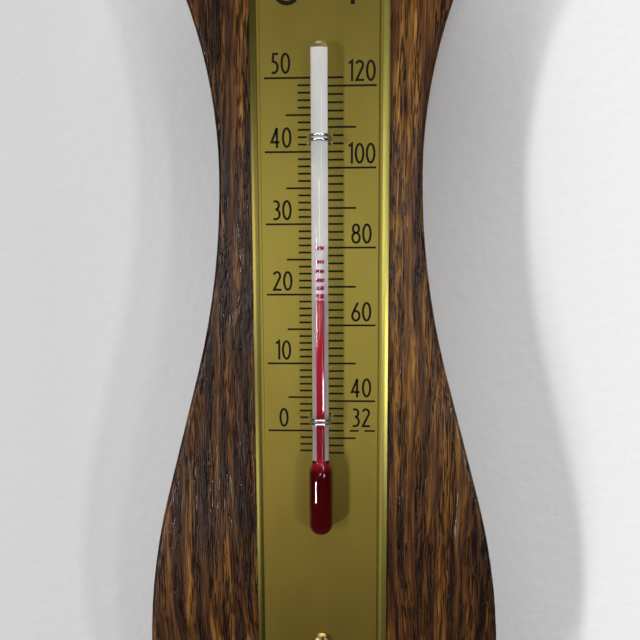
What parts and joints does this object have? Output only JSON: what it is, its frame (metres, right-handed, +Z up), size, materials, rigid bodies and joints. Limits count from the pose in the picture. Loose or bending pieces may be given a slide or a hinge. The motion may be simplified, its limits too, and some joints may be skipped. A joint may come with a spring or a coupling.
{
  "type": "wall thermometer",
  "caption": "Wall thermometer: red spirit tube wired to a gold scale plate on a dark hourglass-shaped oak board, with a ring hanger behind.",
  "frame": {"origin": "on the board's flat back face, on its centreline, half way up the board", "axes": "+Z up along the board and the glass tube, +X to the viewer's right, the front with the scale faces -Y and the flat back faces +Y"},
  "size_m": [0.11, 0.0265, 0.3508],
  "materials": {
    "oak": "dark stained open-pored oak, satin varnish",
    "gold_anodised": "satin gold anodised sheet",
    "clear_glass": "clear polished",
    "white_enamel": "opaque white enamel glass",
    "red_spirit": "clear dark red liquid",
    "tinned_wire": "bright tinned wire",
    "screw_brass": "polished brass",
    "zinc_steel": "bright zinc plated"
  },
  "bodies": {
    "root": {"board": "oak", "scale_plate": "gold_anodised", "glass_tube": "clear_glass", "enamel_strip": "white_enamel", "spirit_reservoir": "red_spirit", "spirit_column": "red_spirit", "wire_clip_upper": "tinned_wire", "wire_clip_lower": "tinned_wire", "plate_screw_top": "screw_brass", "plate_screw_bottom": "screw_brass", "hanger_strap": "zinc_steel", "hanger_screw_upper": "zinc_steel", "hanger_screw_lower": "zinc_steel"},
    "spirit": {"spirit_meniscus": "red_spirit", "spirit_slug_1": "red_spirit", "spirit_slug_2": "red_spirit", "spirit_slug_3": "red_spirit", "spirit_slug_4": "red_spirit", "spirit_slug_5": "red_spirit", "spirit_slug_6": "red_spirit"},
    "ring": {"hanger_ring": "zinc_steel"}
  },
  "joints": [
    {"name": "spirit_rise", "type": "slide", "parent": "root", "child": "spirit", "axis": [0, 0, 1], "range_m": [-0.0444, 0.0535], "deforming": ["spirit_column"]},
    {"name": "ring_swing", "type": "hinge", "parent": "root", "child": "ring", "pos_m": [0, -0.00362, 0.148], "axis": [-1, 0, 0], "range_deg": [-3, 180]}
  ]
}
